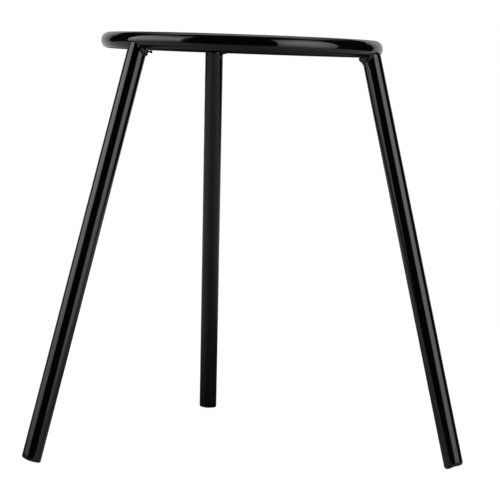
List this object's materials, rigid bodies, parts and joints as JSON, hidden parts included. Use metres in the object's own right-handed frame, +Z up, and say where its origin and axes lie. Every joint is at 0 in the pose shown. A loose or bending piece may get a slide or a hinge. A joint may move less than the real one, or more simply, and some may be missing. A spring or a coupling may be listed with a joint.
{
  "type": "lab tripod stand",
  "caption": "Welded rod stand: a round ring carried on splayed straight legs, for holding a gauze, dish or flask above a burner.",
  "frame": {"origin": "on the bench, under the middle of the ring", "axes": "+Z up, square to the ring; +Y towards the back leg; the left leg stands towards -X and the right leg towards +X"},
  "size_m": [0.2229, 0.2183, 0.217],
  "materials": {
    "black_enamel": "gloss"
  },
  "bodies": {
    "root": {"ring": "black_enamel", "leg_left": "black_enamel", "leg_right": "black_enamel", "leg_back": "black_enamel", "weld_left": "black_enamel", "weld_right": "black_enamel", "weld_back": "black_enamel"}
  },
  "joints": []
}
